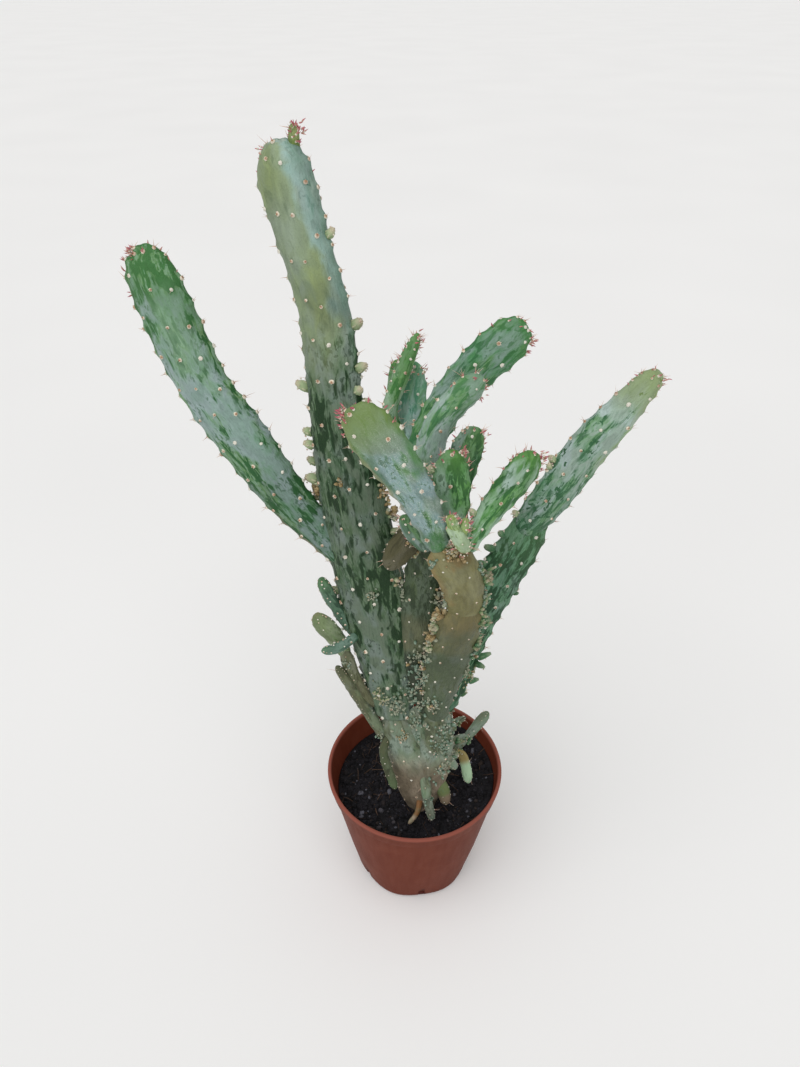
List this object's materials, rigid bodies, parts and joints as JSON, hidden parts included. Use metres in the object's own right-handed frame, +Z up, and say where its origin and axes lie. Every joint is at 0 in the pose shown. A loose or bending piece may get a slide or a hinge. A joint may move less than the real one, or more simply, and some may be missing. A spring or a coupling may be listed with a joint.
{
  "type": "potted paddle cactus",
  "caption": "Potted cactus of upright flat variegated stem segments with areoles, spines and side shoots, rooted in soil in a round tapered plastic nursery pot.",
  "frame": {"origin": "middle of the pot's underside, on the surface that it stands on", "axes": "+Z up along the pot's axis, -Y towards the plant's front, +X to the right seen from the front"},
  "size_m": [0.2315, 0.1118, 0.433],
  "materials": {
    "pot": "thin terracotta-red moulded plastic, slightly glossy, faintly scuffed",
    "soil": "dark crumbly peat soil with grey flecks",
    "cork": "matt corky tan-brown stem skin",
    "flesh_olive": "waxy olive and blue-green stem skin with darker streaks",
    "flesh_green": "waxy variegated green stem skin",
    "flesh_dark": "waxy dark green stem skin",
    "flesh_pale": "waxy pale blue-green stem skin with green streaks",
    "flesh_tan": "matt tan-olive ageing stem skin"
  },
  "bodies": {
    "root": {"pot": "pot", "soil": "soil", "trunk_base": "cork", "main_stem": "flesh_olive", "left_pad": "flesh_green", "right_pad_lower": "flesh_dark", "right_pad_upper": "flesh_pale", "front_pad_lower": "flesh_olive", "front_pad_upper": "flesh_tan", "back_stem": "flesh_dark", "centre_pad": "flesh_pale", "centre_small_pad": "flesh_dark", "bud_sprout": "flesh_green", "right_sprout": "flesh_green", "middle_pad": "flesh_green", "middle_pad_behind": "flesh_dark", "upper_pad_front": "flesh_pale", "upper_pad_back": "flesh_green", "pale_pad": "flesh_pale", "narrow_pad": "flesh_green", "brown_pad": "flesh_tan", "side_stalk": "cork", "side_pad": "flesh_olive", "side_shoot_upper": "flesh_green", "side_shoot_lower": "flesh_dark", "edge_shoot_up": "flesh_pale", "edge_shoot_down": "flesh_dark"}
  },
  "joints": []
}
